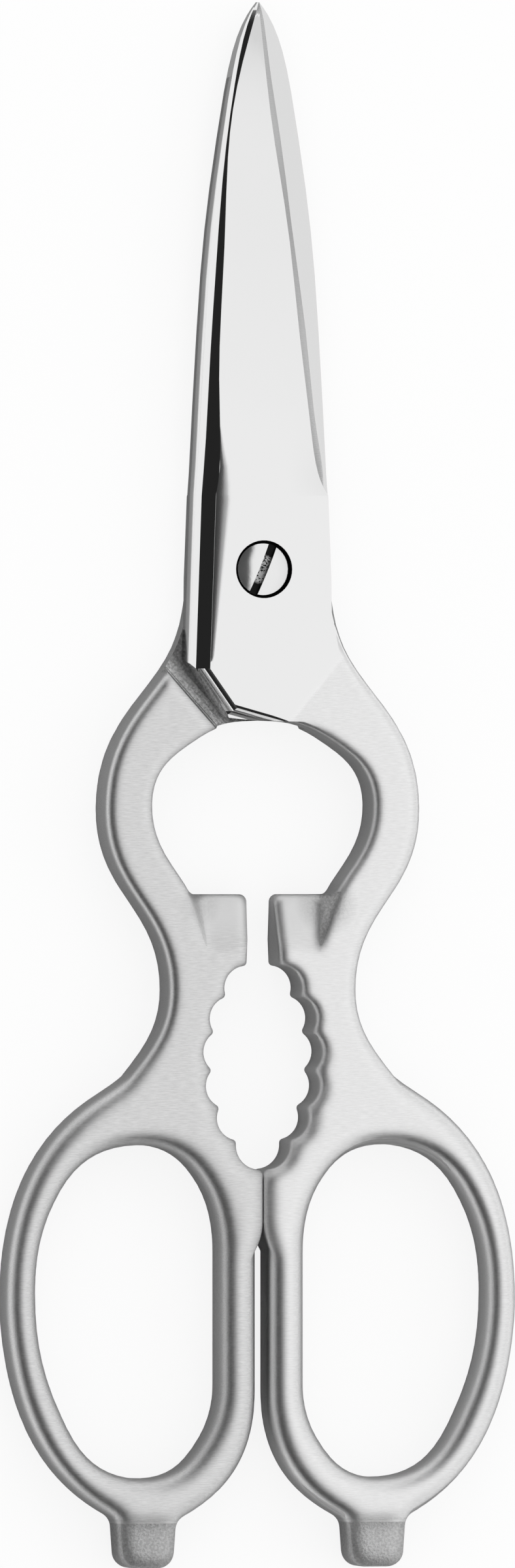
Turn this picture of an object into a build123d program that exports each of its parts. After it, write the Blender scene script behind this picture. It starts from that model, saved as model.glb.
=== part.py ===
from build123d import *
import math
import os

os.makedirs("parts", exist_ok=True)

# Driving sizes in millimetres. On every outline x counts from the middle line of the closed shears
# and y counts from the pivot, up towards the tips and down towards the tangs.
tip_height = 72.5
tang_drop = 127.5
thickness = 7.0
joint_gap = 0.04
overrun = 20.0

half_thickness = thickness / 2
pivot_place = (tang_drop - tip_height) / 2
plate_thickness = half_thickness - joint_gap / 2
joint = Plane(origin=(0, pivot_place, half_thickness))
inner_face = joint.offset(joint_gap / 2)
long_axis = Axis((0, 0, half_thickness), (0, 1, 0))
left = (-1, 0)
right = (1, 0)
up = (0, 1)
down = (0, -1)

# The screw and its stepped hole.
head_diameter = 6.8
head_height = 1.6
head_side_clearance = 0.3
head_sink = 0.12
head_edge_round = 0.15
head_dome = 0.45
slot_width = 1.1
slot_depth = 0.8
slot_turn = 22.5
shank_diameter = 4.6
shank_clearance = 0.05
thread_diameter = 4.0
thread_clearance = 0.02
thread_end_sink = 0.1
thread_end_chamfer = 0.35

# The flat plate round the pivot.
root_height = 9.4
root_spine = 9.25
root_edge = 8.45
heel_half_width = 9.96
heel_drop = 11.5
heel_foot = (-4.7, -18.9)
heel_curve_share = (0.50, 0.66)
plate_foot = (1.5, -19.4)
plate_waist = (8.85, -1.1)
plate_fade = (8.9, -5.5)
plate_end = (10.2, -12.0)
plate_corner = (7.0, -19.5)

# The grinding: a wall in two leaning facets and a bevel along the spine, and the bevel of the edge.
wall_height = 2.4
wall_run = 1.3
wall_break_share = (0.54, 0.66)
bevel_run = 1.62
edge_bevel_run = 1.0
heel_wall_run = 0.35
heel_bevel_run = 1.3
foot_bevel_start = (-3.2, -17.8)
foot_bevel_end = (3.4, -19.6)
foot_bevel_run = 0.9

# The arm round the opener, its jaw and the toothed gap.
arm_inside = (4.0, -6.0)
arm_edge_round = 0.9
inner_edge_round = 0.5
opener_outer = (20.62, -30.7)
waist = (12.22, -53.7)
neck_bend_share = (0.155, 0.297)
waist_bend_share = (0.300, 0.395)
opener_shoulder = (9.75, -22.4)
opener_side = (14.6, -30.2)
opener_hip = (12.25, -37.4)
jaw_root = (9.6, -41.5)
jaw_half_gap = 1.8
jaw_root_round = 1.2
jaw_corner_round = 0.9
jaw_edge_thickness = 2.4
jaw_slope = 17.2
jaw_wall_foot = (7.9, 0.3)
jaw_wall_end = (7.4, -6.9)
jaw_wall_lean_share = 0.95
arch_centre = (-11.3, -62.6)
arch_radius = 18.05
first_tooth = 41.5
tooth_pitch = 15.25
tooth_count = 5
scallop_depth = 1.15
tooth_tip_round = 0.55
stop_half_gap = 0.08
stop_corner_round = 0.8
stop_drop = 83.3
stop_end = (1.7, -88.3)
web_inside = [(3.3, -87.5), (3.3, -82.5), (5.6, -77.3), (9.6, -73.3), (15.9, -71.0), (20.8, -71.6)]
arm_fade = (21.2, -69.3)
ramp_distance = 18.32
ramp_run = 1.1
ramp_turn = -41.7

# The finger loop and its tang. A height share counts down from the stop's foot to the loop's end,
# and a reach share out to the loop's outer side.
loop_edge_round = 1.7
loop_start = (16.75, -64.1)
loop_outer_reach = 33.45
loop_outer_height_share = 0.2625
loop_high_share = (0.315, 0.129)
loop_low_share = (0.024, 0.183)
loop_inner = 0.87
loop_inside = [(0.87, -80.0), (3.9, -77.0), (8.5, -72.6)]
loop_inner_height_share = 0.5696
loop_inner_low_share = (0.524, 0.222)
hole_left = 5.44
hole_left_height_shares = (0.1102, 0.5433)
hole_top_reach_share = 0.4753
hole_top_drop = 73.5
hole_right_rim = 3.77
hole_right_height_share = 0.2388
hole_bottom_reach_share = 0.4574
hole_bottom_rim = 5.3
hole_low_left_share = (0.277, 0.685)
hole_low_right_share = (0.758, 0.338)
hole_top_right_share = (0.181, 0.614)
hole_top_left_share = (0.731, 0.283)
tang_length = 6.1
tang_right_length = 6.4
tang_reach_share = 0.4514
tang_width = 7.8
tang_half_taper = 0.45
tang_corner_round = 2.1
tang_shoulder_round = 2.0
tang_thickness = 5.6


def between(a, b, share):
    """The place that lies a share of the way from a to b, with a share for each direction."""
    return (a[0] + (b[0] - a[0]) * share[0], a[1] + (b[1] - a[1]) * share[1])


def past(a, b, amount):
    """The place that lies an amount beyond b on the line from a."""
    share = 1 + amount / math.dist(a, b)
    return between(a, b, (share, share))


def profile_plane(start, end):
    """A plane across the line from start to end, with x leading into the plate and y up."""
    run = Vector(end[0] - start[0], end[1] - start[1], 0)
    inward = Vector(-run.Y, run.X, 0)
    return Plane(origin=inner_face.from_local_coords(Vector(*start, 0)), x_dir=inward, z_dir=run)


def rim_edges(solid, curves):
    """The front and rear edges that some curves of an extruded outline became."""
    picked = ShapeList()
    for curve in curves:
        middle = curve @ 0.5
        for side in (-half_thickness, half_thickness):
            place = joint.from_local_coords(Vector(middle.X, middle.Y, side))
            picked.append(solid.edges().sort_by_distance(place)[0])
    return picked


def arch_place(turn, depth=0.0):
    """A place on the arch of tooth tips, or a depth outside it."""
    reach = arch_radius + depth
    angle = math.radians(turn)
    return (arch_centre[0] + reach * math.cos(angle), arch_centre[1] + reach * math.sin(angle))


# The blade is lofted through cross-sections. Each row gives, as shares of the sizes at its root or
# of the blade's length: the height, the spine, the cutting edge, the wall's run and height, the
# bevel's run, the face's height at the bevel, and the edge bevel's run and height.
blade_share_rows = [
    (0.000, 1.000, 1.000, 1.00, 1.00, 1.00, 1.00, 0.00, 1.00),
    (0.046, 0.978, 1.020, 1.02, 1.01, 1.13, 0.99, 1.30, 0.75),
    (0.120, 0.952, 0.936, 1.10, 1.00, 1.01, 0.97, 1.20, 0.50),
    (0.220, 0.915, 0.839, 1.09, 1.02, 0.75, 0.93, 1.05, 0.39),
    (0.420, 0.830, 0.665, 1.11, 0.97, 0.56, 0.83, 1.00, 0.34),
    (0.640, 0.670, 0.444, 0.85, 0.83, 0.30, 0.66, 0.95, 0.29),
    (0.830, 0.465, 0.231, 0.70, 0.60, 0.20, 0.47, 0.85, 0.22),
    (0.944, 0.254, 0.118, 0.49, 0.31, 0.39, 0.32, 0.62, 0.15),
    (1.000, 0.025, 0.024, 0.10, 0.13, 0.08, 0.14, 0.10, 0.05),
]


def blade_section(row):
    """One cross-section of the blade, and the plane that it lies in."""
    height, spine, edge, run, wall, bevel, face, edge_back, edge_rise = row
    at = root_height + (tip_height - root_height) * height
    spine_x = -root_spine * spine
    edge_x = root_edge * edge
    lean = wall_run * run
    rise = wall_height * wall
    corners = [
        (spine_x, 0),
        between((spine_x, 0), (spine_x + lean, rise), wall_break_share),
        (spine_x + lean, rise),
        (spine_x + lean + bevel_run * bevel, plate_thickness * face),
        (edge_x - edge_bevel_run * edge_back, plate_thickness * edge_rise),
        (edge_x, 0),
    ]
    base = inner_face.from_local_coords(Vector(0, at, 0))
    return corners, Plane(origin=base, x_dir=(1, 0, 0), z_dir=(0, -1, 0))


with BuildPart() as blade:
    for row in blade_share_rows:
        section_corners, section_plane = blade_section(row)
        with BuildSketch(section_plane):
            with BuildLine():
                Polyline(*section_corners, close=True)
            make_face()
    loft()


# The plate: full thickness from the root of the blade to the opener, with the heel cut across.
# What the grinding wheel takes off its spine, heel and foot lies outside the profiles below.
plate_top = plate_thickness
wall_top = (wall_run, wall_height)
wall_break = between((0, 0), wall_top, wall_break_share)
spine_bevel_top = (wall_run + bevel_run, plate_top)
heel_wall_top = (heel_wall_run, wall_height)
heel_bevel_top = (heel_wall_run + heel_bevel_run, plate_top)
foot_bevel_low = (-foot_bevel_run, plate_top - foot_bevel_run)
spine_line = [(-root_spine, root_height), (-heel_half_width, -heel_drop)]
spine_run = Vector(spine_line[1][0] - spine_line[0][0], spine_line[1][1] - spine_line[0][1], 0)
heel_line = [(-heel_half_width, -heel_drop), heel_foot]
root_plane = Plane(origin=inner_face.from_local_coords(Vector(-root_spine, root_height, 0)),
                   x_dir=(1, 0, 0), z_dir=(0, -1, 0))
grinds = [
    (root_plane, spine_run, [(0, 0), wall_break, wall_top, spine_bevel_top]),
    (profile_plane(*heel_line), None, [(0, 0), heel_wall_top, heel_bevel_top]),
    (profile_plane(foot_bevel_start, foot_bevel_end), None, [foot_bevel_low, (0, plate_top)]),
]

with BuildPart() as plate:
    with BuildSketch(inner_face):
        with BuildLine():
            Polyline(plate_waist, (root_edge, root_height), (-root_spine, root_height),
                     (-heel_half_width, -heel_drop), heel_foot)
            ThreePointArc(heel_foot, between(heel_foot, plate_foot, heel_curve_share), plate_foot)
            Polyline(plate_foot, plate_corner, plate_end, plate_fade, plate_waist)
        make_face()
    extrude(amount=plate_thickness)
    for plane, direction, profile in grinds:
        lowest = past(profile[1], profile[0], thickness)
        highest = past(profile[-2], profile[-1], thickness)
        outside = (lowest[0] - overrun, highest[1])
        with BuildSketch(plane):
            with BuildLine():
                Polyline(lowest, *profile, highest, outside, (outside[0], lowest[1]), close=True)
            make_face()
        extrude(amount=2 * overrun, dir=direction, both=True, mode=Mode.SUBTRACT)

# The arm: the opener's side, its jaw, the toothed gap and the stop, full thickness.
neck_start = Vector(plate_waist[0] - root_edge, plate_waist[1] - root_height, 0)
jaw_corner = (jaw_half_gap, jaw_root[1])
stop_reach = stop_half_gap - arch_centre[0]
stop_top = (stop_half_gap, arch_centre[1] - math.sqrt(arch_radius**2 - stop_reach**2))
stop_low = (stop_half_gap, -stop_drop)
tooth_turns = [first_tooth - tooth_pitch * number for number in range(tooth_count + 1)]
tooth_places = [arch_place(turn) for turn in tooth_turns] + [stop_top]

with BuildPart() as arm:
    with BuildSketch(joint):
        with BuildLine():
            neck = Spline(plate_waist, between(plate_waist, opener_outer, neck_bend_share),
                          opener_outer, tangents=(neck_start, down))
            hip = Spline(opener_outer, between(opener_outer, waist, waist_bend_share), waist,
                         tangents=(down, down))
            flare = Spline(waist, loop_start, arm_fade, tangents=(down, (1, -1)))
            Polyline(arm_fade, *reversed(web_inside), stop_end)
            stop_curve = Spline(stop_end, stop_low, tangents=((-1, 2), up))
            stop_wall = Line(stop_low, stop_top)
            for number in range(tooth_count, -1, -1):
                turn = tooth_turns[number] - tooth_pitch / 2
                deepest = arch_place(turn, scallop_depth)
                ThreePointArc(tooth_places[number + 1], deepest, tooth_places[number])
            jaw_wall = Line(tooth_places[0], jaw_corner)
            jaw_edge = Line(jaw_corner, jaw_root)
            opener_low = Spline(jaw_root, opener_hip, opener_side, tangents=((1, 2), up))
            opener_high = Spline(opener_side, opener_shoulder, plate_foot, tangents=(up, left))
            Polyline(plate_foot, arm_inside, plate_waist)
        make_face()
        for place, radius in [(jaw_root, jaw_root_round), (jaw_corner, jaw_corner_round),
                              (stop_top, stop_corner_round)]:
            fillet(vertices().sort_by_distance(Vector(*place, 0))[0], radius=radius)
        for place in tooth_places[:-1]:
            fillet(vertices().sort_by_distance(Vector(*place, 0))[0], radius=tooth_tip_round)
    extrude(amount=half_thickness, both=True)
    fillet(rim_edges(arm.part, [neck, hip, flare]), radius=arm_edge_round)
    fillet(rim_edges(arm.part, [opener_high, jaw_edge]), radius=inner_edge_round)

# Each face of the jaw is relieved: a floor that rises away from the jaw's edge, against a leaning wall.
jaw_tilt = math.radians(jaw_slope)
jaw_floor_origin = joint.from_local_coords(Vector(0, jaw_root[1], jaw_edge_thickness / 2))
jaw_floor = Plane(origin=jaw_floor_origin, x_dir=(1, 0, 0),
                  z_dir=(0, math.sin(jaw_tilt), math.cos(jaw_tilt)))
with BuildPart() as jaw_relief:
    with BuildSketch(jaw_floor):
        with BuildLine():
            Polyline(jaw_wall_foot, jaw_wall_end, (jaw_wall_end[0], -overrun),
                     (-overrun, -overrun), (-overrun, jaw_wall_foot[1]), close=True)
        make_face()
    extrude(amount=overrun, dir=(jaw_wall_lean_share, 0, 1))
    mirror(about=joint)

# Behind the front plate the arm stops at a steep ramp, so that the other half's plate fits there.
ramp_angle = math.radians(ramp_turn)
ramp_out = Vector(math.cos(ramp_angle), math.sin(ramp_angle), 0)
ramp_along = Vector(ramp_out.Y, -ramp_out.X, 0)
ramp_plane = Plane(origin=joint.from_local_coords(ramp_out * ramp_distance), x_dir=ramp_out,
                   z_dir=ramp_along)
ramp_foot = (-ramp_run, joint_gap / 2)
ramp_low = past(ramp_foot, (0, -half_thickness), thickness)
ramp_reach = 2 * overrun
with BuildPart() as ramp_relief:
    with BuildSketch(ramp_plane):
        with BuildLine():
            Polyline(ramp_foot, ramp_low, (-ramp_reach, ramp_low[1]), (-ramp_reach, ramp_foot[1]),
                     close=True)
        make_face()
    extrude(amount=ramp_reach, both=True)

# The finger loop and the tang below it.
loop_end = tang_drop - tang_length


def low_place(across, share):
    """A place at a share of the drop from the stop's foot to the loop's end."""
    return (across, -stop_drop - share * (loop_end - stop_drop))


loop_outer = low_place(loop_outer_reach, loop_outer_height_share)
inner_low = low_place(loop_inner, loop_inner_height_share)
hole_straight = [low_place(hole_left, share) for share in hole_left_height_shares]
hole_right = low_place(loop_outer_reach - hole_right_rim, hole_right_height_share)
hole_top = (loop_outer_reach * hole_top_reach_share, -hole_top_drop)
hole_bottom = (loop_outer_reach * hole_bottom_reach_share, -loop_end + hole_bottom_rim)
tang_middle = loop_outer_reach * tang_reach_share
tang_right = tang_middle + tang_width / 2
tang_left = tang_middle - tang_width / 2
tang_right_top = (tang_right, -tang_drop + tang_right_length)
tang_left_top = (tang_left, -loop_end)
tang_right_foot = (tang_right - tang_half_taper, -tang_drop)
tang_left_foot = (tang_left + tang_half_taper, -tang_drop)
with BuildPart() as loop:
    with BuildSketch(joint):
        with BuildLine():
            crown = Spline(loop_start, between(loop_start, loop_outer, loop_high_share), loop_outer,
                           tangents=((1, -1), down))
            cheek = Spline(loop_outer, between(loop_outer, tang_right_top, loop_low_share),
                           tang_right_top, tangents=(down, (-2, -1)))
            tang_right = Line(tang_right_top, tang_right_foot)
            tang_edge = Line(tang_right_foot, tang_left_foot)
            tang_left = Line(tang_left_foot, tang_left_top)
            chin = Spline(tang_left_top, between(tang_left_top, inner_low, loop_inner_low_share),
                          inner_low, tangents=((-2, 1), up))
            inner_side = Line(inner_low, loop_inside[0])
            Polyline(*loop_inside, loop_start)
        make_face()
        with BuildLine():
            hole_side = Line(*hole_straight)
            hole_low_left = Spline(hole_straight[1],
                                   between(hole_straight[1], hole_bottom, hole_low_left_share),
                                   hole_bottom, tangents=(down, right))
            hole_low_right = Spline(hole_bottom,
                                    between(hole_bottom, hole_right, hole_low_right_share),
                                    hole_right, tangents=(right, up))
            hole_top_right = Spline(hole_right,
                                    between(hole_right, hole_top, hole_top_right_share),
                                    hole_top, tangents=(up, left))
            hole_top_left = Spline(hole_top,
                                   between(hole_top, hole_straight[0], hole_top_left_share),
                                   hole_straight[0], tangents=(left, down))
        make_face(mode=Mode.SUBTRACT)
        for place, radius in [(tang_right_top, tang_shoulder_round), (tang_left_top, tang_shoulder_round),
                              (tang_right_foot, tang_corner_round), (tang_left_foot, tang_corner_round)]:
            fillet(vertices().sort_by_distance(Vector(*place, 0))[0], radius=radius)
    extrude(amount=half_thickness, both=True)
    fillet(rim_edges(loop.part, [crown, hole_side]), radius=loop_edge_round)
    for side in (-1, 1):
        with BuildSketch(joint.offset(side * tang_thickness / 2)):
            with Locations((loop_outer_reach / 2, -loop_end)):
                Rectangle(loop_outer_reach, overrun, align=(Align.CENTER, Align.MAX))
        extrude(amount=side * overrun, mode=Mode.SUBTRACT)


# One forging, which is both halves but for the hole at the pivot.
with BuildPart() as forging:
    add(arm.part)
    add(jaw_relief.part, mode=Mode.SUBTRACT)
    add(ramp_relief.part, mode=Mode.SUBTRACT)
    add(loop.part)
    add(plate.part)
    add(blade.part)


recess_radius = head_diameter / 2 + head_side_clearance
recess_floor = half_thickness - head_sink - head_height
with BuildPart() as front_half:
    add(forging.part)
    with BuildSketch(joint.offset(recess_floor)):
        Circle(recess_radius)
    extrude(amount=overrun, mode=Mode.SUBTRACT)
    with BuildSketch(joint):
        Circle(shank_diameter / 2 + shank_clearance)
    extrude(amount=overrun, mode=Mode.SUBTRACT)

with BuildPart() as back_half:
    add(forging.part.rotate(long_axis, 180))
    with BuildSketch(joint):
        Circle(thread_diameter / 2 + thread_clearance)
    extrude(amount=-overrun, mode=Mode.SUBTRACT)

# The screw: its shank turns in the front half, and its shoulder and thread seat in the back half.
screw_axis = Axis(joint.origin, (0, 0, 1))
screw_plane = Plane(origin=joint.origin, x_dir=(1, 0, 0), z_dir=(0, -1, 0))
thread_end = -half_thickness + thread_end_sink
head_rim = (head_diameter / 2, half_thickness - head_sink - head_dome)
screw_outline = [
    (head_diameter / 2, recess_floor + joint_gap / 2),
    (shank_diameter / 2, recess_floor + joint_gap / 2),
    (shank_diameter / 2, -joint_gap / 2),
    (thread_diameter / 2, -joint_gap / 2),
    (thread_diameter / 2, thread_end + thread_end_chamfer),
    (thread_diameter / 2 - thread_end_chamfer, thread_end),
    (0, thread_end),
    (0, half_thickness - head_sink),
]
with BuildPart() as pivot_screw:
    with BuildSketch(screw_plane):
        with BuildLine():
            Polyline(head_rim, *screw_outline)
            Spline(screw_outline[-1], head_rim, tangents=(right, (head_diameter, -4 * head_dome)))
        make_face()
        fillet(vertices().sort_by_distance(Vector(*head_rim, 0))[0], radius=head_edge_round)
    revolve(axis=screw_axis)
    with BuildSketch(joint.offset(half_thickness - head_sink - slot_depth)):
        Rectangle(slot_width, 2 * head_diameter, rotation=-slot_turn)
    extrude(amount=overrun, mode=Mode.SUBTRACT)

front_half.part.label = "front_half"
back_half.part.label = "back_half"
pivot_screw.part.label = "pivot_screw"
export_step(front_half.part, "parts/front_half.step")
export_step(back_half.part, "parts/back_half.step")
export_step(pivot_screw.part, "parts/pivot_screw.step")
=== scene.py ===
import math
import bpy
from mathutils import Matrix, Vector

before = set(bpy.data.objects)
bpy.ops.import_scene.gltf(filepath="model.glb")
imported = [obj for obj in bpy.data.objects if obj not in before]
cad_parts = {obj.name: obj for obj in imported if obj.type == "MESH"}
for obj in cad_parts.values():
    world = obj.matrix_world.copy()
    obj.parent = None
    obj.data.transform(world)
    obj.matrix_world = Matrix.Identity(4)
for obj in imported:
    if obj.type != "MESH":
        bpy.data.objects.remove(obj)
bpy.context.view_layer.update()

# Front half: one drop-forged piece of stainless knife steel, with its blade, plate, arm and finger
# loop. The grinding wheel gave the blade and the plate their facets and a mirror polish, and the
# arm and the loop are satin brushed. It turns on the screw, in front of the back half.
MM = 0.001
PER_MM = 1 / MM
PIVOT_HEIGHT = 27.5
THICKNESS = 7.0
LEVEL_ONLY = (1, 1, 0)


def linear(code):
    """The linear colour of an sRGB hex code."""
    parts = [int(code[i:i + 2], 16) / 255 for i in (1, 3, 5)]
    return (*[p / 12.92 if p <= 0.04045 else ((p + 0.055) / 1.055) ** 2.4 for p in parts], 1.0)


def add(tree, kind, settings=(), links=()):
    """Adds a node to a tree with its settings, and links its sockets from other nodes or sockets."""
    made = tree.nodes.new(kind)
    for name, value in dict(settings).items():
        if isinstance(name, int) or name in made.inputs:
            made.inputs[name].default_value = value
        else:
            setattr(made, name, value)
    for name, source in dict(links).items():
        tree.links.new(source.outputs[0] if hasattr(source, "outputs") else source, made.inputs[name])
    return made


def empty_tree(holder):
    """The node tree of a new material or world, with nothing in it."""
    holder.use_nodes = True
    holder.node_tree.nodes.clear()
    return holder.node_tree


def forged_steel(name, turned, polish_shade, inner_shade, satin_shades, satin_blur):
    """Hot-forged stainless knife steel. Where it is polished the eye gets the studio as in a mirror, and
    where it is satin a soft sheen with short brush lines. Places are in millimetres on the forging:
    x from its middle line, y towards the tip from the pivot, and z up from its back."""
    material = bpy.data.materials.new(name)
    tree = empty_tree(material)
    side = -1.0 if turned else 1.0
    place = add(tree, "ShaderNodeTexCoord")
    mm = add(tree, "ShaderNodeMapping", {"Scale": (side * PER_MM, PER_MM, side * PER_MM),
                                         "Location": (0, -PIVOT_HEIGHT, THICKNESS if turned else 0)},
             {"Vector": place.outputs["Object"]})
    xyz = add(tree, "ShaderNodeSeparateXYZ", links={0: mm})
    facing = add(tree, "ShaderNodeVectorMath", {"operation": "MULTIPLY", 1: (side, 1, side)},
                 {0: place.outputs["Normal"]})
    lean = add(tree, "ShaderNodeSeparateXYZ", links={0: facing})
    x, y, z = xyz.outputs
    lean_x, lean_y, lean_z = lean.outputs

    # The polish ends on a slanting line in front, and at the top of the ramp behind.
    ground_face = 3.6
    across_front = (0.769, -0.639, 0)
    polish_end, front_brushed = 14.5, 15.6
    across_ramp = (0.7466, -0.6652, 0)
    ramp_top, ramp_brushed = 17.9, 18.3
    behind = add(tree, "ShaderNodeMath", {"operation": "LESS_THAN", 1: ground_face}, {0: z})
    front_line = add(tree, "ShaderNodeVectorMath", {"operation": "DOT_PRODUCT", 1: across_front}, {0: mm})
    front_satin = add(tree, "ShaderNodeMapRange", {
        "interpolation_type": "SMOOTHSTEP", "From Min": polish_end, "From Max": front_brushed},
        {0: front_line.outputs["Value"]})
    ramp_line = add(tree, "ShaderNodeVectorMath", {"operation": "DOT_PRODUCT", 1: across_ramp}, {0: mm})
    back_satin = add(tree, "ShaderNodeMapRange", {"From Min": ramp_top, "From Max": ramp_brushed},
                     {0: ramp_line.outputs["Value"]})
    satin = add(tree, "ShaderNodeMix", {"data_type": "FLOAT"}, {0: behind, 2: front_satin, 3: back_satin})

    # The inner face of the blade is ground across, and less bright than the mirror polish.
    inner_lean = -0.5
    inner = add(tree, "ShaderNodeMath", {"operation": "LESS_THAN", 1: inner_lean}, {0: lean_z})

    # Forging scale is left on the ramp, but for a worn line near its top.
    ramp_foot, ramp_full = 10.5, 12.5
    worn_line, worn_half = 17.62, 0.13
    ramp_low = add(tree, "ShaderNodeMapRange", {"From Min": ramp_foot, "From Max": ramp_full},
                   {0: ramp_line.outputs["Value"]})
    ramp_scale = add(tree, "ShaderNodeMath", {"operation": "SUBTRACT"}, {0: ramp_low, 1: back_satin})
    worn_edge = add(tree, "ShaderNodeMath", {"operation": "COMPARE", 1: worn_line, 2: worn_half},
                    {0: ramp_line.outputs["Value"]})
    ramp_left = add(tree, "ShaderNodeMath", {"operation": "SUBTRACT", "use_clamp": True},
                    {0: ramp_scale, 1: worn_edge})
    ramp_behind = add(tree, "ShaderNodeMath", {"operation": "MULTIPLY"}, {0: ramp_left, 1: behind})

    # A thinner scale covers the tang below its seam, the jaw's side wall and a pit in the jaw's corner.
    # On the jaw's side wall the scale is also painted shade, more on the front half than on the back.
    tang_root, tang_full, tang_cover = -121.0, -121.9, 0.55
    seam_line, seam_half = -121.6, 0.16
    pit_middle, pit_reach, pit_core, pit_cover = (8.4, -42.8, 3.5), 4.6, 2.6, 0.35
    pit_squash = (1, 1, 0.2)
    jaw_middle, jaw_half = -45.0, 5.0
    jaw_floor_lean, floor_slack = 0.28, 0.05
    jaw_wall_lean, wall_slack = -0.70, 0.04
    jaw_wall_scale_and_shade = 0.25 if turned else 0.6
    tang = add(tree, "ShaderNodeMapRange", {
        "interpolation_type": "SMOOTHSTEP", "From Min": tang_root, "From Max": tang_full}, {0: y})
    squashed = add(tree, "ShaderNodeVectorMath", {"operation": "MULTIPLY", 1: pit_squash}, {0: mm})
    jaw_corner = add(tree, "ShaderNodeVectorMath", {"operation": "DISTANCE", 1: pit_middle}, {0: squashed})
    jaw_scale = add(tree, "ShaderNodeMapRange", {"From Min": pit_reach, "From Max": pit_core},
                    {0: jaw_corner.outputs["Value"]})
    jaw_zone = add(tree, "ShaderNodeMath", {"operation": "COMPARE", 1: jaw_middle, 2: jaw_half}, {0: y})
    jaw_lean = add(tree, "ShaderNodeMath", {"operation": "COMPARE", 1: jaw_floor_lean, 2: floor_slack},
                   {0: lean_y})
    jaw = add(tree, "ShaderNodeMath", {"operation": "MULTIPLY"}, {0: jaw_zone, 1: jaw_lean})
    side_wall = add(tree, "ShaderNodeMath", {"operation": "COMPARE", 1: jaw_wall_lean, 2: wall_slack},
                    {0: lean_x})
    # Scale on the jaw's side wall: real scale and partly painted shade.
    wall_scaled = add(tree, "ShaderNodeMath", {"operation": "MULTIPLY", 1: jaw_wall_scale_and_shade}, {0: jaw})
    jaw_wall = add(tree, "ShaderNodeMath", {"operation": "MULTIPLY"}, {0: side_wall, 1: wall_scaled})
    jaw_pits = add(tree, "ShaderNodeMath", {"operation": "MULTIPLY", 1: pit_cover}, {0: jaw_scale})
    tang_seam = add(tree, "ShaderNodeMath", {"operation": "COMPARE", 1: seam_line, 2: seam_half}, {0: y})
    below_seam = add(tree, "ShaderNodeMath", {"operation": "SUBTRACT", "use_clamp": True},
                     {0: tang, 1: tang_seam})
    tang_scale = add(tree, "ShaderNodeMath", {"operation": "MULTIPLY", 1: tang_cover}, {0: below_seam})
    jaw_cover = add(tree, "ShaderNodeMath", {"operation": "MAXIMUM"}, {0: jaw_pits, 1: jaw_wall})
    thin_scale = add(tree, "ShaderNodeMath", {"operation": "MAXIMUM"}, {0: jaw_cover, 1: tang_scale})
    scale = add(tree, "ShaderNodeMath", {"operation": "MAXIMUM", "use_clamp": True},
                {0: ramp_behind, 1: thin_scale})

    # The scale's flakes are about 0.3 mm across, drawn coarse enough to show.
    flake_width = 0.3125
    scale_noise = add(tree, "ShaderNodeTexNoise", {
        "Scale": 1 / flake_width, "Detail": 4.0, "Roughness": 0.6}, {"Vector": mm})

    # The recess under the screw's head is painted near black: painted shade.
    recess_radius, recess_top = 3.75, 6.97
    level = add(tree, "ShaderNodeVectorMath", {"operation": "MULTIPLY", 1: LEVEL_ONLY}, {0: mm})
    reach = add(tree, "ShaderNodeVectorMath", {"operation": "LENGTH"}, {0: level})
    near_pivot = add(tree, "ShaderNodeMath", {"operation": "LESS_THAN", 1: recess_radius},
                     {0: reach.outputs["Value"]})
    below_face = add(tree, "ShaderNodeMath", {"operation": "LESS_THAN", 1: recess_top}, {0: z})
    recess = add(tree, "ShaderNodeMath", {"operation": "MULTIPLY"}, {0: near_pivot, 1: below_face})

    # Fine teeth cross the bevel of the cutting edge, so that food doesn't slip. They are drawn
    # 0.27 mm apart, as coarse as they need to be to show.
    edge_start, edge_side_lean, tooth_pitch = 9.5, 0.6, 0.27
    edge_high = add(tree, "ShaderNodeMath", {"operation": "GREATER_THAN", 1: edge_start}, {0: y})
    edge_lean = add(tree, "ShaderNodeMath", {"operation": "GREATER_THAN", 1: edge_side_lean}, {0: lean_x})
    edge_zone = add(tree, "ShaderNodeMath", {"operation": "MULTIPLY"}, {0: edge_high, 1: edge_lean})
    edge_turn = add(tree, "ShaderNodeMath", {"operation": "MULTIPLY", 1: 2 * math.pi / tooth_pitch}, {0: y})
    edge_wave = add(tree, "ShaderNodeMath", {"operation": "SINE"}, {0: edge_turn})
    edge_teeth = add(tree, "ShaderNodeMath", {"operation": "MULTIPLY"}, {0: edge_wave, 1: edge_zone})

    # The satin's brush lines run across the shears. Real ones are about 0.05 mm wide, and these are
    # drawn about three times as wide and a little over 1 mm long, so that they show.
    brush_length, brush_width = 1.25, 1 / 7
    line_low, line_high = 0.3, 0.7
    stretched = add(tree, "ShaderNodeMapping", {
        "Scale": (1 / brush_length, 1 / brush_width, 1 / brush_width)}, {0: mm})
    grain = add(tree, "ShaderNodeTexNoise", {"Scale": 1.0, "Detail": 3.0, "Roughness": 0.6},
                {"Vector": stretched})
    brush_tone = add(tree, "ShaderNodeMix", {
        "data_type": "RGBA", "A": linear(satin_shades[0]), "B": linear(satin_shades[1])},
        {0: add(tree, "ShaderNodeMapRange", {"From Min": line_low, "From Max": line_high}, {0: grain})})
    polished = add(tree, "ShaderNodeMix", {
        "data_type": "RGBA", "A": linear(polish_shade), "B": linear(inner_shade)}, {0: inner})
    brushed = add(tree, "ShaderNodeMix", {"data_type": "RGBA"},
                  {0: satin, "A": polished.outputs[2], "B": brush_tone.outputs[2]})
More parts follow.
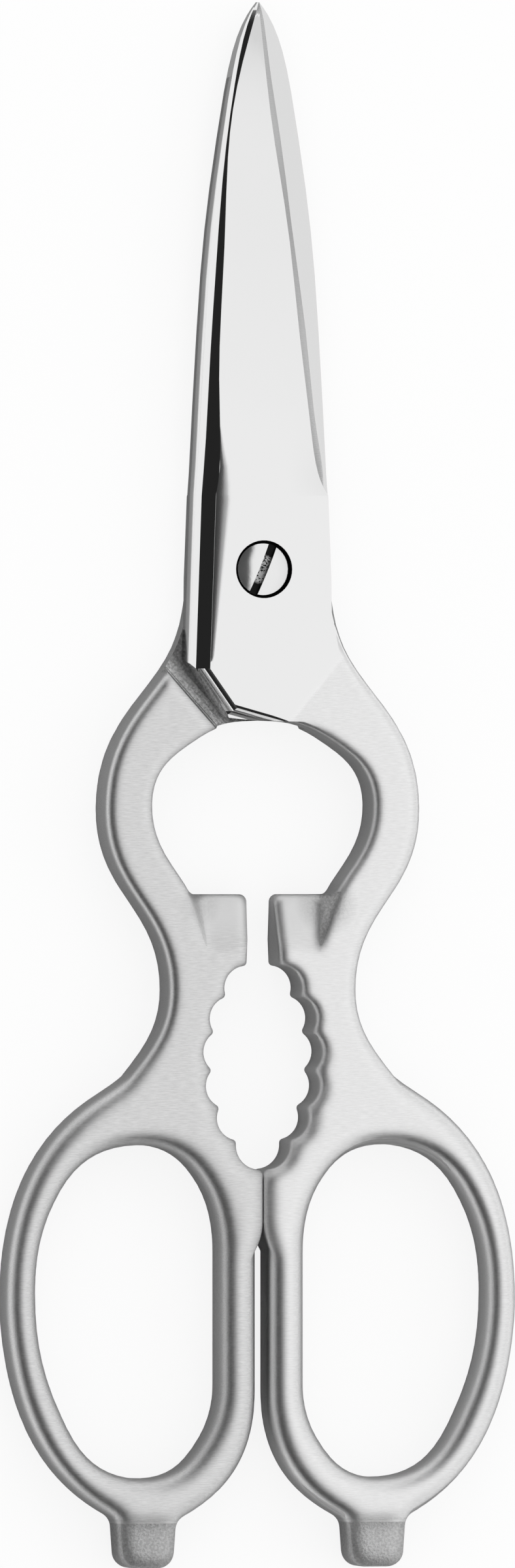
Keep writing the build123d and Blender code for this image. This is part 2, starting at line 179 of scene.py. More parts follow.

    # The jaw's floor and the plate's downward foot facet are painted darker than the faces beside
    # them: painted shade. The toothed bevel is duller, and darker towards the tip.
    jaw_shade_gone, jaw_shade_whole = -48.8, -44.0
    foot_facet_lean, foot_facet_low = -0.6, 6.0
    bevel_bright_end, bevel_dull_start = 12.0, 45.0
    # Painted shade on the jaw's floor, fading in along it.
    jaw_shade_fade = add(tree, "ShaderNodeMapRange", {
        "interpolation_type": "SMOOTHSTEP", "From Min": jaw_shade_gone, "From Max": jaw_shade_whole}, {0: y})
    jaw_shade_share = add(tree, "ShaderNodeMath", {"operation": "MULTIPLY"}, {0: jaw, 1: jaw_shade_fade})
    jaw_painted_shade = add(tree, "ShaderNodeMix", {"data_type": "RGBA", "B": linear("#ECECEC")},
                   {0: jaw_shade_share, "A": brushed.outputs[2]})
    foot_facet = add(tree, "ShaderNodeMath", {"operation": "MULTIPLY"}, {
        0: add(tree, "ShaderNodeMath", {"operation": "LESS_THAN", 1: foot_facet_lean}, {0: lean_y}),
        1: add(tree, "ShaderNodeMath", {"operation": "GREATER_THAN", 1: foot_facet_low}, {0: z})})
    # Painted shade on the plate's downward foot facet.
    foot_painted_shade = add(tree, "ShaderNodeMix", {"data_type": "RGBA", "B": linear("#D2D2D2")},
                    {0: foot_facet, "A": jaw_painted_shade.outputs[2]})
    edge_along = add(tree, "ShaderNodeMapRange", {"From Min": bevel_bright_end, "From Max": bevel_dull_start},
                     {0: y})
    edge_shade = add(tree, "ShaderNodeMix", {
        "data_type": "RGBA", "A": linear("#F4F4F4"), "B": linear("#CECECE")}, {0: edge_along})
    toothed = add(tree, "ShaderNodeMix", {"data_type": "RGBA"},
                  {0: edge_zone, "A": foot_painted_shade.outputs[2], "B": edge_shade.outputs[2]})

    # Scale is grey and paler on the ramp. The groove at the ramp's foot gets painted shadow, and the
    # recess under the screw's head painted shade.
    flake_low, flake_high = 0.4, 0.62
    groove_top, groove_floor_line, groove_shadow_strength = 16.7, 15.5, 0.7
    flake_share = add(tree, "ShaderNodeMapRange", {"From Min": flake_low, "From Max": flake_high},
                      {0: scale_noise})
    scale_shade = add(tree, "ShaderNodeMix", {
        "data_type": "RGBA", "A": linear("#8C8C8C"), "B": linear("#C2C2C2")}, {0: flake_share})
    scaled = add(tree, "ShaderNodeMix", {"data_type": "RGBA"},
                 {0: scale, "A": toothed.outputs[2], "B": scale_shade.outputs[2]})
    ramp_shade = add(tree, "ShaderNodeMix", {
        "data_type": "RGBA", "A": linear("#B4B4B4"), "B": linear("#E2E2E2")}, {0: flake_share})
    ramp_tone = add(tree, "ShaderNodeMix", {"data_type": "RGBA"},
                    {0: ramp_behind, "A": scaled.outputs[2], "B": ramp_shade.outputs[2]})
    # Painted shadow: the ramp darkens towards the groove at its foot, under the plate's heel.
    groove = add(tree, "ShaderNodeMapRange", {
        "From Min": groove_top, "From Max": groove_floor_line, "To Max": groove_shadow_strength},
        {0: ramp_line.outputs["Value"]})
    groove_shadow_share = add(tree, "ShaderNodeMath", {"operation": "MULTIPLY"}, {0: groove, 1: ramp_behind})
    groove_painted_shadow = add(tree, "ShaderNodeMix", {"data_type": "RGBA", "B": linear("#404040")},
                      {0: groove_shadow_share, "A": ramp_tone.outputs[2]})
    # Painted shade: the recess under the screw's head is near black.
    recess_painted_shade = add(tree, "ShaderNodeMix", {"data_type": "RGBA", "B": linear("#1E1E1E")},
                {0: recess, "A": groove_painted_shadow.outputs[2]})

    # The buffing wheel rounded the plate beside the spine's bevel, least at the heel, and left the
    # blade's face sharp. The bevel's line is straight on the plate and steps in on the blade.
    heel_line, plate_end, blade_line_start = -11.5, 9.4, 13.0
    heel_x, plate_end_x, blade_step = -7.02, -6.31, 0.52
    widest_buff, heel_buff, plate_buff = 9.0, 0.55, 2.4
    narrow_buff_line, full_buff_line, blade_buff_share = 20.0, 8.0, 0.06
    buff_last, buff_whole_end = 21.0, 17.0
    buff_first, buff_whole_start = -12.5, -10.8
    face_lean, buff_power, buff_depth = 0.93, 2.2, 0.2
    plate_line = add(tree, "ShaderNodeMapRange", {
        "From Min": heel_line, "From Max": plate_end, "To Min": heel_x, "To Max": plate_end_x}, {0: y})
    blade_line = add(tree, "ShaderNodeMapRange", {
        "From Min": plate_end, "From Max": blade_line_start, "To Max": blade_step}, {0: y})
    bevel_line = add(tree, "ShaderNodeMath", {"operation": "ADD"}, {0: plate_line, 1: blade_line})
    past_bevel = add(tree, "ShaderNodeMath", {"operation": "SUBTRACT"}, {0: x, 1: bevel_line})
    full_width = add(tree, "ShaderNodeMapRange", {
        "From Min": heel_line, "From Max": widest_buff, "To Min": heel_buff, "To Max": plate_buff}, {0: y})
    narrowing = add(tree, "ShaderNodeMapRange", {
        "interpolation_type": "SMOOTHSTEP", "From Min": narrow_buff_line, "From Max": full_buff_line,
        "To Min": blade_buff_share}, {0: y})
    buff_width = add(tree, "ShaderNodeMath", {"operation": "MULTIPLY"}, {0: full_width, 1: narrowing})
    buff_share = add(tree, "ShaderNodeMath", {"operation": "DIVIDE"}, {0: past_bevel, 1: buff_width})
    left_over = add(tree, "ShaderNodeMapRange", {"To Min": 1.0, "To Max": 0.0}, {0: buff_share})
    buff_end = add(tree, "ShaderNodeMapRange", {
        "interpolation_type": "SMOOTHSTEP", "From Min": buff_last, "From Max": buff_whole_end}, {0: y})
    buff_start = add(tree, "ShaderNodeMapRange", {
        "interpolation_type": "SMOOTHSTEP", "From Min": buff_first, "From Max": buff_whole_start}, {0: y})
    flat_face = add(tree, "ShaderNodeMath", {"operation": "GREATER_THAN", 1: face_lean}, {0: lean_z})
    buff_length = add(tree, "ShaderNodeMath", {"operation": "MULTIPLY"}, {0: buff_end, 1: buff_start})
    buff_reach = add(tree, "ShaderNodeMath", {"operation": "MULTIPLY"}, {0: buff_length, 1: flat_face})
    buff_fall = add(tree, "ShaderNodeMath", {"operation": "POWER", 1: buff_power}, {0: left_over})
    buff_curve = add(tree, "ShaderNodeMath", {"operation": "MULTIPLY"}, {0: buff_fall, 1: buff_width})
    buff_height = add(tree, "ShaderNodeMath", {"operation": "MULTIPLY"}, {0: buff_curve, 1: buff_reach})

    # The spine's lower wall, which reaches from the tip down to the heel.
    wall_side_lean, wall_low_end = -0.86, -13.0
    wall_side = add(tree, "ShaderNodeMath", {"operation": "LESS_THAN", 1: wall_side_lean}, {0: lean_x})
    wall_high = add(tree, "ShaderNodeMath", {"operation": "GREATER_THAN", 1: wall_low_end}, {0: y})
    wall = add(tree, "ShaderNodeMath", {"operation": "MULTIPLY"}, {0: wall_side, 1: wall_high})

    # The mirror polish is the smoothest. The satin varies with its brush lines, and the scale, the
    # teeth, the buffed band, the wall and the recess under the screw's head are each duller.
    mirror_blur, inner_blur, blur_swing = 0.06, 0.14, 0.06
    scale_blur, teeth_blur, recess_blur = 0.5, 0.4, 0.6
    buff_blur_gain, wall_blur = 0.66, 0.14
    satin_rough = add(tree, "ShaderNodeMapRange", {
        "To Min": satin_blur - blur_swing, "To Max": satin_blur + blur_swing}, {0: grain})
    rough_polish = add(tree, "ShaderNodeMix", {"data_type": "FLOAT", 2: mirror_blur, 3: inner_blur},
                       {0: inner})
    rough_satin = add(tree, "ShaderNodeMix", {"data_type": "FLOAT"},
                      {0: satin, 2: rough_polish, 3: satin_rough})
    rough_scale = add(tree, "ShaderNodeMix", {"data_type": "FLOAT", 3: scale_blur},
                      {0: scale, 2: rough_satin})
    rough_teeth = add(tree, "ShaderNodeMix", {"data_type": "FLOAT", 3: teeth_blur},
                      {0: edge_zone, 2: rough_scale})
    buff_blur = add(tree, "ShaderNodeMath", {"operation": "PINGPONG", 1: 0.5}, {0: left_over})
    buff_dulled = add(tree, "ShaderNodeMath", {"operation": "MULTIPLY", 1: buff_blur_gain}, {0: buff_blur})
    buff_rough = add(tree, "ShaderNodeMath", {"operation": "MULTIPLY"}, {0: buff_dulled, 1: buff_reach})
    rough_buff = add(tree, "ShaderNodeMath", {"operation": "ADD"}, {0: rough_teeth, 1: buff_rough})
    wall_rough = add(tree, "ShaderNodeMath", {"operation": "MULTIPLY", 1: wall_blur}, {0: wall})
    rough_wall = add(tree, "ShaderNodeMath", {"operation": "ADD"}, {0: rough_buff, 1: wall_rough})
    rough_recess = add(tree, "ShaderNodeMix", {"data_type": "FLOAT", 3: recess_blur},
                      {0: recess, 2: rough_wall})

    # Brushing broke the edges of the satin part wide and soft, widest on the finger loops.
    arm_soft, loop_soft = 2.0, 3.4
    soft_arm_end, soft_loop_start = -58.0, -72.0
    soft_line_start, soft_line_full = 15.0, 20.0
    soft_reach = add(tree, "ShaderNodeMapRange", {
        "From Min": soft_arm_end, "From Max": soft_loop_start, "To Min": arm_soft * MM,
        "To Max": loop_soft * MM}, {0: y})
    soft_edge = add(tree, "ShaderNodeBevel", {"samples": 12}, {"Radius": soft_reach})
    soft_front = add(tree, "ShaderNodeMapRange", {"From Min": soft_line_start, "From Max": soft_line_full},
                     {0: front_line.outputs["Value"]})
    soft_share = add(tree, "ShaderNodeMix", {"data_type": "FLOAT"}, {0: behind, 2: soft_front, 3: back_satin})
    broken = add(tree, "ShaderNodeMix", {"data_type": "VECTOR"},
                 {0: soft_share, 4: add(tree, "ShaderNodeNewGeometry").outputs["Normal"], 5: soft_edge})
    buff_bump = add(tree, "ShaderNodeBump", {"invert": True, "Strength": 1.0, "Distance": buff_depth * MM},
                    {"Height": buff_height, "Normal": broken.outputs[1]})

    def crowned(middle, depth, zone, under):
        """The normals of a zone that is crowned about a height and falls by the depth 1 mm from it."""
        from_middle = add(tree, "ShaderNodeMath", {"operation": "SUBTRACT", 1: middle}, {0: z})
        square = add(tree, "ShaderNodeMath", {"operation": "POWER", 1: 2.0}, {0: from_middle})
        height = add(tree, "ShaderNodeMath", {"operation": "MULTIPLY"}, {0: square, 1: zone})
        return add(tree, "ShaderNodeBump", {"invert": True, "Strength": 1.0, "Distance": depth * MM},
                   {"Height": height, "Normal": under})

    # Buffing also left the spine's lower wall and the heel's bevel a little crowned.
    wall_crown, wall_crown_depth = 4.5, 0.34
    heel_middle_x, heel_half_x = -5.8, 2.6
    heel_middle_y, heel_half_y = -14.5, 3.6
    heel_side_lean, heel_slack = -0.37, 0.06
    heel_crown, heel_crown_depth = 6.6, 0.9
    wall_bump = crowned(wall_crown, wall_crown_depth, wall, buff_bump)
    heel_zone = add(tree, "ShaderNodeMath", {"operation": "MULTIPLY"}, {
        0: add(tree, "ShaderNodeMath", {"operation": "COMPARE", 1: heel_middle_x, 2: heel_half_x}, {0: x}),
        1: add(tree, "ShaderNodeMath", {"operation": "COMPARE", 1: heel_middle_y, 2: heel_half_y}, {0: y})})
    heel_lean = add(tree, "ShaderNodeMath", {"operation": "COMPARE", 1: heel_side_lean, 2: heel_slack},
                    {0: lean_y})
    heel_share = add(tree, "ShaderNodeMath", {"operation": "MULTIPLY"}, {0: heel_zone, 1: heel_lean})
    heel_bump = crowned(heel_crown, heel_crown_depth, heel_share, wall_bump)

    # The plate's foot has a thin rounded edge above a crowned facet.
    across_foot = (0.27, 0.963, 0)
    foot_round_end, foot_round_start, foot_round_depth = -17.99, -17.5, 0.2
    foot_round_gone, foot_round_whole = 6.0, 1.0
    foot_low_end = -20.5
    foot_crown, foot_crown_depth = 6.8, 0.25
    foot_line = add(tree, "ShaderNodeVectorMath", {"operation": "DOT_PRODUCT", 1: across_foot}, {0: mm})
    foot_share = add(tree, "ShaderNodeMapRange", {
        "From Min": foot_round_end, "From Max": foot_round_start, "To Min": 1.0, "To Max": 0.0},
        {0: foot_line.outputs["Value"]})
    foot_fade = add(tree, "ShaderNodeMapRange", {"From Min": foot_round_gone, "From Max": foot_round_whole},
                    {0: x})
    foot_side = add(tree, "ShaderNodeMath", {"operation": "GREATER_THAN", 1: foot_low_end}, {0: y})
    foot_length = add(tree, "ShaderNodeMath", {"operation": "MULTIPLY"}, {0: foot_fade, 1: foot_side})
    foot_reach = add(tree, "ShaderNodeMath", {"operation": "MULTIPLY"}, {0: foot_length, 1: flat_face})
    foot_fall = add(tree, "ShaderNodeMath", {"operation": "POWER", 1: 2.0}, {0: foot_share})
    foot_height = add(tree, "ShaderNodeMath", {"operation": "MULTIPLY"}, {0: foot_fall, 1: foot_reach})
    foot_edge = add(tree, "ShaderNodeBump", {
        "invert": True, "Strength": 1.0, "Distance": foot_round_depth * MM},
        {"Height": foot_height, "Normal": heel_bump})
    foot_zone = add(tree, "ShaderNodeMath", {"operation": "MULTIPLY"}, {0: foot_facet, 1: foot_side})
    foot_bump = crowned(foot_crown, foot_crown_depth, foot_zone, foot_edge)

    # Drawn lines run along the ramp, and the teeth, the brush lines and the scale stand up a little.
    drawn_pitch, drawn_depth = 0.75, 0.03
    tooth_depth, brush_depth, scale_depth = 0.008, 0.012, 0.1
    ramp_turn = add(tree, "ShaderNodeMath", {"operation": "MULTIPLY", 1: 2 * math.pi / drawn_pitch},
                    {0: ramp_line.outputs["Value"]})
    ramp_wave = add(tree, "ShaderNodeMath", {"operation": "SINE"}, {0: ramp_turn})
    ramp_height = add(tree, "ShaderNodeMath", {"operation": "MULTIPLY"}, {0: ramp_wave, 1: ramp_behind})
    ramp_bump = add(tree, "ShaderNodeBump", {"Strength": 1.0, "Distance": drawn_depth * MM},
                    {"Height": ramp_height, "Normal": foot_bump})
    tooth_bump = add(tree, "ShaderNodeBump", {"Strength": 1.0, "Distance": tooth_depth * MM},
                     {"Height": edge_teeth, "Normal": ramp_bump})
    satin_height = add(tree, "ShaderNodeMath", {"operation": "MULTIPLY"}, {0: grain, 1: satin})
    satin_bump = add(tree, "ShaderNodeBump", {"Strength": 1.0, "Distance": brush_depth * MM},
                     {"Height": satin_height, "Normal": tooth_bump})
    scale_height = add(tree, "ShaderNodeMath", {"operation": "MULTIPLY"}, {0: scale_noise, 1: scale})
    bump = add(tree, "ShaderNodeBump", {"Strength": 1.0, "Distance": scale_depth * MM},
               {"Height": scale_height, "Normal": satin_bump})
    shader = add(tree, "ShaderNodeBsdfPrincipled", {"Metallic": 1.0},
                 {"Base Color": recess_painted_shade.outputs[2], "Roughness": rough_recess, "Normal": bump})
    add(tree, "ShaderNodeOutputMaterial", links={0: shader})
    return material


front_satin_shades = ("#E8E8E8", "#F9F9F9")
front_satin_blur = 0.32
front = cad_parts["front_half"]
front.data.materials.clear()
front.data.materials.append(forged_steel("polished_forged_stainless", False, "#EBEBEB", "#E0E0E0",
                                         front_satin_shades, front_satin_blur))

# Back half: the same forging turned over, so that its blade shows its ground inner face and its arm
# the ramp behind the other plate. It is brushed a little duller, and its satin shades are darker as
# painted shade. The screw's thread holds it.
# Darker satin shades than the front half: painted shade.
back_shaded_satin_shades = ("#D6D6D6", "#F0F0F0")
back_satin_blur = 0.36
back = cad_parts["back_half"]
back.data.materials.clear()
back.data.materials.append(forged_steel("ground_forged_stainless", True, "#E4E4E4", "#DCDCDC",
                                        back_shaded_satin_shades, back_satin_blur))

# Pivot screw: a turned steel screw with a low domed head and a milled slot, sunk in the front half.
# Its dome is polished. All the rest of the screw, the slot too, is painted near black as painted shade,
# with a worn bright streak near its middle. The eye gets a small mirror with fine turning scratches,
# split by a dark slot.
slot_floor = 6.08
slot_wall = 0.25
head_lean = 0.8
streak_end, streak_full = 2.0, 1.6
streak_low, streak_high = 0.42, 0.5
patch_width = 0.2
scratch_length, scratch_width = 1 / 3, 1 / 12
scratch_turn = 0.7
scratch_depth = 0.004
polish_blur, scratch_blur, slot_blur = 0.07, 0.15, 0.5
screw_steel = bpy.data.materials.new("turned_screw_steel")
tree = empty_tree(screw_steel)
place = add(tree, "ShaderNodeTexCoord")
mm = add(tree, "ShaderNodeMapping", {"Scale": (PER_MM, PER_MM, PER_MM), "Location": (0, -PIVOT_HEIGHT, 0)},
         {"Vector": place.outputs["Object"]})
xyz = add(tree, "ShaderNodeSeparateXYZ", links={0: mm})
lean = add(tree, "ShaderNodeSeparateXYZ", links={0: place.outputs["Normal"]})
above_slot = add(tree, "ShaderNodeMath", {"operation": "GREATER_THAN", 1: slot_floor + slot_wall},
                 {0: xyz.outputs[2]})
facing_up = add(tree, "ShaderNodeMath", {"operation": "GREATER_THAN", 1: head_lean}, {0: lean.outputs[2]})
head_top = add(tree, "ShaderNodeMath", {"operation": "MULTIPLY"}, {0: above_slot, 1: facing_up})
streak_noise = add(tree, "ShaderNodeTexNoise", {"Scale": 1 / patch_width, "Detail": 3.0}, {"Vector": mm})
screw_level = add(tree, "ShaderNodeVectorMath", {"operation": "MULTIPLY", 1: LEVEL_ONLY}, {0: mm})
streak_reach = add(tree, "ShaderNodeVectorMath", {"operation": "LENGTH"}, {0: screw_level})
streak_middle = add(tree, "ShaderNodeMapRange", {"From Min": streak_end, "From Max": streak_full},
                    {0: streak_reach.outputs["Value"]})
streak_patch = add(tree, "ShaderNodeMapRange", {"From Min": streak_low, "From Max": streak_high},
                   {0: streak_noise})
streak = add(tree, "ShaderNodeMath", {"operation": "MULTIPLY"}, {0: streak_middle, 1: streak_patch})
# Painted shade: all but the dome's top is near black, bar the worn streak.
slot_shade_and_wear = add(tree, "ShaderNodeMix", {
    "data_type": "RGBA", "A": linear("#242424"), "B": linear("#D0D0D0")}, {0: streak})
colour = add(tree, "ShaderNodeMix", {"data_type": "RGBA", "B": linear("#E8E8E8")},
             {0: head_top, "A": slot_shade_and_wear.outputs[2]})
scratch_grid = add(tree, "ShaderNodeMapping", {
    "Scale": (1 / scratch_length, 1 / scratch_width, 1 / scratch_length), "Rotation": (0, 0, scratch_turn)},
    {0: mm})
scratch = add(tree, "ShaderNodeTexNoise", {"Scale": 1.0, "Detail": 2.0}, {"Vector": scratch_grid})
rough = add(tree, "ShaderNodeMapRange", {"To Min": polish_blur, "To Max": scratch_blur}, {0: scratch})
rough_slot = add(tree, "ShaderNodeMix", {"data_type": "FLOAT", 2: slot_blur}, {0: head_top, 3: rough})
bump = add(tree, "ShaderNodeBump", {"Strength": 1.0, "Distance": scratch_depth * MM}, {"Height": scratch})
shader = add(tree, "ShaderNodeBsdfPrincipled", {"Metallic": 1.0},
             {"Base Color": colour.outputs[2], "Roughness": rough_slot, "Normal": bump})
add(tree, "ShaderNodeOutputMaterial", links={0: shader})
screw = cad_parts["pivot_screw"]
screw.data.materials.clear()
screw.data.materials.append(screw_steel)

# Floor: a sheet of matt white paper under the shears. It keeps their shadow, and the eye gets an
# even white with a faint tooth, drawn at about 1 mm, which is coarser than real paper's.
floor_reach = 6
fibre_width = 1 / 0.9
fibre_depth = 0.1
floor_glow_share = 0.85


def place_object(name, data):
    """A new object in the scene."""
    made = bpy.data.objects.new(name, data)
    bpy.context.scene.collection.objects.link(made)
    return made


def seen_itself(tree):
    """1 where a thing is seen, straight or in the steel, and 0 where it only gives its light."""
    rays = add(tree, "ShaderNodeLightPath")
    seen = add(tree, "ShaderNodeMath", {"operation": "MAXIMUM"},
               {0: rays.outputs["Is Camera Ray"], 1: rays.outputs["Is Glossy Ray"]})
    return add(tree, "ShaderNodeMath", {"operation": "MAXIMUM"},
               {0: seen, 1: rays.outputs["Is Transmission Ray"]})


floor_mesh = bpy.data.meshes.new("floor")
floor_mesh.from_pydata([(-floor_reach, -floor_reach, 0), (floor_reach, -floor_reach, 0),
                        (floor_reach, floor_reach, 0), (-floor_reach, floor_reach, 0)], [], [(0, 1, 2, 3)])
floor = place_object("floor", floor_mesh)
paper = bpy.data.materials.new("matt_white_paper")
tree = empty_tree(paper)
grain = add(tree, "ShaderNodeTexNoise", {"Scale": PER_MM / fibre_width, "Detail": 2.0},
            {0: add(tree, "ShaderNodeTexCoord").outputs["Object"]})
bump = add(tree, "ShaderNodeBump", {"Strength": 0.05, "Distance": fibre_depth * MM}, {"Height": grain})
lit = add(tree, "ShaderNodeBsdfDiffuse", {"Color": linear("#F6F6F6")}, {"Normal": bump})
white = add(tree, "ShaderNodeEmission", {"Color": linear("#FFFFFF"), "Strength": 1.0})
share = add(tree, "ShaderNodeMath", {"operation": "MULTIPLY", 1: floor_glow_share}, {0: seen_itself(tree)})
mixed = add(tree, "ShaderNodeMixShader", links={0: share, 1: lit, 2: white})
add(tree, "ShaderNodeOutputMaterial", links={0: mixed})
floor_mesh.materials.append(paper)

# White tent: pale cloth all round the shears, made here as the world. It lights them evenly from
# every side, and the steel shows it low down, past the dark card's edge.
tent_light = 0.85
world = bpy.data.worlds.new("white_tent")
bpy.context.scene.world = world
tree = empty_tree(world)
light = add(tree, "ShaderNodeBackground", {"Color": linear("#FFFFFF"), "Strength": tent_light})
white = add(tree, "ShaderNodeBackground", {"Color": linear("#FFFFFF"), "Strength": 1.0})
mixed = add(tree, "ShaderNodeMixShader", links={0: seen_itself(tree), 1: light, 2: white})
add(tree, "ShaderNodeOutputWorld", links={0: mixed})

# Dark card: a dome over the shears that glows, painted light that is no lamp: black on its left and
# near side and white elsewhere. Only the steel shows it, as black bands beside white. The white of its
# right side falls off towards the floor.
card_radius = 2.2
card_drop = math.radians(80)
card_rings = 32
card_sectors = 128


def show_in_steel_only(card):
    """Hides a card from the camera, and keeps it from shading the rest."""
    card.visible_camera = False
    card.visible_diffuse = False
    card.visible_shadow = False


dome_points = [(0.0, 0.0, card_radius)]
for ring in range(1, card_rings + 1):
    drop = card_drop * ring / card_rings
    for sector in range(card_sectors):
        turn = 2 * math.pi * sector / card_sectors
        dome_points.append((card_radius * math.sin(drop) * math.cos(turn),
                            card_radius * math.sin(drop) * math.sin(turn), card_radius * math.cos(drop)))
dome_faces = [(0, 1 + sector, 1 + (sector + 1) % card_sectors) for sector in range(card_sectors)]
for ring in range(card_rings - 1):
    first = 1 + ring * card_sectors
    for sector in range(card_sectors):
        after = (sector + 1) % card_sectors
        dome_faces.append((first + sector, first + card_sectors + sector,
                           first + card_sectors + after, first + after))
dome_mesh = bpy.data.meshes.new("dark_card")
dome_mesh.from_pydata(dome_points, [], dome_faces)
dark_card = place_object("dark_card", dome_mesh)
show_in_steel_only(dark_card)

# The card's glow is graded black and white. Its places are parts of an arrow of length 1 that
# points from the shears to the card: right, far and up.
near_start, near_gain = -0.42, 0.9
far_start, far_gain = 0.2, 0.3
card_edge_blur = 0.06
far_gone, far_whole = 0.96, 0.55
low_edge, near_low_edge = math.radians(70), math.radians(79)
near_turn_start, near_turn_end = -0.80, -0.92
black_top, black_low = math.radians(10), math.radians(45)
black_top_glow, black_low_glow = 0.10, 0.02
fade_top, fade_low, white_low_glow = 0.86, 0.6, 0.78
right_start, right_whole = 0.1, 0.35
# A glow, not a lamp: painted light.
card_glow = bpy.data.materials.new("graded_glowing_card")
tree = empty_tree(card_glow)
aim_point = add(tree, "ShaderNodeVectorMath", {"operation": "NORMALIZE"},
                {0: add(tree, "ShaderNodeTexCoord").outputs["Object"]})
aim_parts = add(tree, "ShaderNodeSeparateXYZ", links={0: aim_point})
to_right, to_far, to_top = aim_parts.outputs
drop = add(tree, "ShaderNodeMath", {"operation": "ARCCOSINE"}, {0: to_top})
left_side = add(tree, "ShaderNodeMath", {"operation": "MULTIPLY", 1: -1.0}, {0: to_right})
near_low = add(tree, "ShaderNodeMapRange", {"From Min": near_start, "From Max": -1.0, "To Max": near_gain},
               {0: to_far})
far_high = add(tree, "ShaderNodeMapRange", {"From Min": far_start, "To Max": far_gain}, {0: to_far})
side_and_near = add(tree, "ShaderNodeMath", {"operation": "ADD"}, {0: left_side, 1: near_low})
side_lean = add(tree, "ShaderNodeMath", {"operation": "ADD"}, {0: side_and_near, 1: far_high})
side_share = add(tree, "ShaderNodeMapRange", {
    "interpolation_type": "SMOOTHSTEP", "From Min": 0.0, "From Max": card_edge_blur}, {0: side_lean})
far_fade = add(tree, "ShaderNodeMapRange", {
    "interpolation_type": "SMOOTHSTEP", "From Min": far_gone, "From Max": far_whole}, {0: to_far})
flattened = add(tree, "ShaderNodeVectorMath", {"operation": "MULTIPLY", 1: LEVEL_ONLY}, {0: aim_point})
level = add(tree, "ShaderNodeVectorMath", {"operation": "NORMALIZE"}, {0: flattened})
level_parts = add(tree, "ShaderNodeSeparateXYZ", links={0: level})
lower_edge = add(tree, "ShaderNodeMapRange", {
    "From Min": near_turn_start, "From Max": near_turn_end, "To Min": low_edge, "To Max": near_low_edge},
    {0: level_parts.outputs[1]})
above_edge = add(tree, "ShaderNodeMath", {"operation": "LESS_THAN"}, {0: drop, 1: lower_edge})
side_black = add(tree, "ShaderNodeMath", {"operation": "MULTIPLY"}, {0: side_share, 1: far_fade})
dark_share = add(tree, "ShaderNodeMath", {"operation": "MULTIPLY"}, {0: side_black, 1: above_edge})
dark_shade = add(tree, "ShaderNodeMapRange", {
    "From Min": black_top, "From Max": black_low, "To Min": black_top_glow, "To Max": black_low_glow},
    {0: drop})
low_fade = add(tree, "ShaderNodeMapRange", {
    "From Min": fade_top, "From Max": fade_low, "To Min": 1.0, "To Max": white_low_glow}, {0: to_top})
right_side = add(tree, "ShaderNodeMapRange", {"From Min": right_start, "From Max": right_whole},
                 {0: to_right})
pale_shade = add(tree, "ShaderNodeMix", {"data_type": "FLOAT", 2: 1.0}, {0: right_side, 3: low_fade})
glow = add(tree, "ShaderNodeMix", {"data_type": "FLOAT"}, {0: dark_share, 2: pale_shade, 3: dark_shade})
shader = add(tree, "ShaderNodeEmission", {"Color": linear("#FFFFFF")}, {"Strength": glow})
add(tree, "ShaderNodeOutputMaterial", links={0: shader})
dome_mesh.materials.append(card_glow)

# Grey card: a sheet of matt grey board flat under the shears, wider at the handles, which stands in
# for the floor's shade beside them: painted shadow. Only the steel shows it, as a plain grey with
# faint flecks in the side walls.
sheet_outline = ((0.055, -0.17), (0.05, -0.02), (0.028, 0.03), (0.022, 0.115))
sheet_lift = 0.02
fleck_width = 50 / 3
sheet_mesh = bpy.data.meshes.new("painted_shade_sheet")
sheet_points = [(x, y, sheet_lift * MM) for x, y in sheet_outline]
sheet_points += [(-x, y, sheet_lift * MM) for x, y in sheet_outline[::-1]]
sheet_mesh.from_pydata(sheet_points, [], [tuple(range(len(sheet_points)))])
painted_shade_sheet = place_object("painted_shade_sheet", sheet_mesh)
show_in_steel_only(painted_shade_sheet)
shade_sheet_paint = bpy.data.materials.new("matt_painted_shade_sheet")
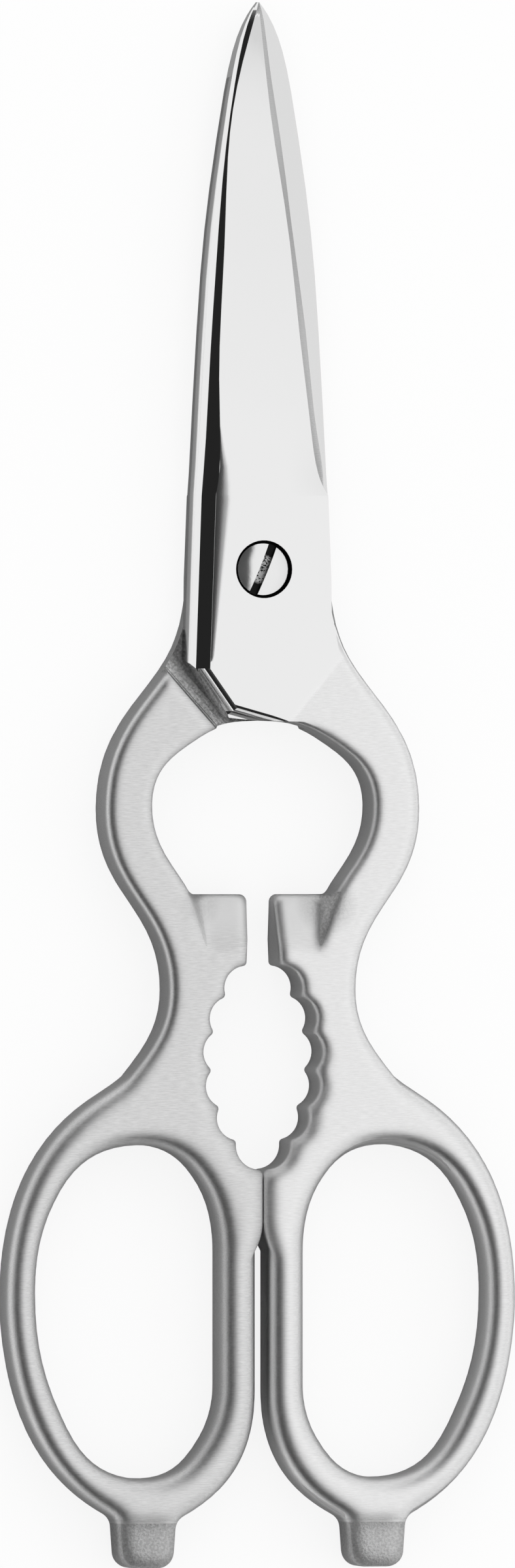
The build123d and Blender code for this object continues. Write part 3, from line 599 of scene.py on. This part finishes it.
# Painted shadow that only the steel shows.
tree = empty_tree(shade_sheet_paint)
fleck = add(tree, "ShaderNodeTexNoise", {"Scale": PER_MM / fleck_width},
            {0: add(tree, "ShaderNodeTexCoord").outputs["Object"]})
grey = add(tree, "ShaderNodeMix", {"data_type": "RGBA", "A": linear("#989898"), "B": linear("#A2A2A2")},
           {0: fleck})
shader = add(tree, "ShaderNodeBsdfDiffuse", links={"Color": grey.outputs[2]})
add(tree, "ShaderNodeOutputMaterial", links={0: shader})
sheet_mesh.materials.append(shade_sheet_paint)

# Lamps: two large square softboxes, low at the right and at the far end, whose shadow is soft. They
# light the floor and the cards, and the steel shows the tent in their place.
lamp_size = 1.2
lamp_distance = 1.4
for name, turn, tilt, watts in (("right_lamp", 90, 72, 4.7), ("far_lamp", 180, 60, 4.5)):
    lamp_data = bpy.data.lights.new(name, "AREA")
    lamp_data.shape = "SQUARE"
    lamp_data.size = lamp_size
    lamp_data.energy = watts
    lamp = place_object(name, lamp_data)
    lamp.visible_camera = False
    lamp.visible_glossy = False
    lamp.location = lamp_distance * Vector((math.sin(math.radians(tilt)) * math.sin(math.radians(turn)),
                                            -math.sin(math.radians(tilt)) * math.cos(math.radians(turn)),
                                            math.cos(math.radians(tilt))))
    lamp.rotation_mode = "QUATERNION"
    lamp.rotation_quaternion = (-lamp.location).to_track_quat("-Z", "Y")

# Camera: nearly straight above the shears, leaning 14 degrees towards their left side, with a long
# lens, so that lines along the shears stay parallel.
camera_lean = math.radians(14)
camera_distance = 3.0
picture_height = 0.20042
aim_height = 0.00008
aim = Vector((0.0, aim_height, THICKNESS / 2 * MM))
camera_data = bpy.data.cameras.new("camera")
camera_data.lens = camera_data.sensor_width * camera_distance / picture_height
camera_data.clip_end = 50
camera = place_object("camera", camera_data)
camera_right = Vector((math.cos(camera_lean), 0, math.sin(camera_lean)))
camera_back = Vector((-math.sin(camera_lean), 0, math.cos(camera_lean)))
camera_axes = Matrix((camera_right, (0, 1, 0), camera_back)).transposed()
camera.rotation_mode = "QUATERNION"
camera.rotation_quaternion = camera_axes.to_quaternion()
camera.location = aim + camera_back * camera_distance
bpy.context.scene.camera = camera

bpy.context.scene.view_settings.view_transform = "Standard"
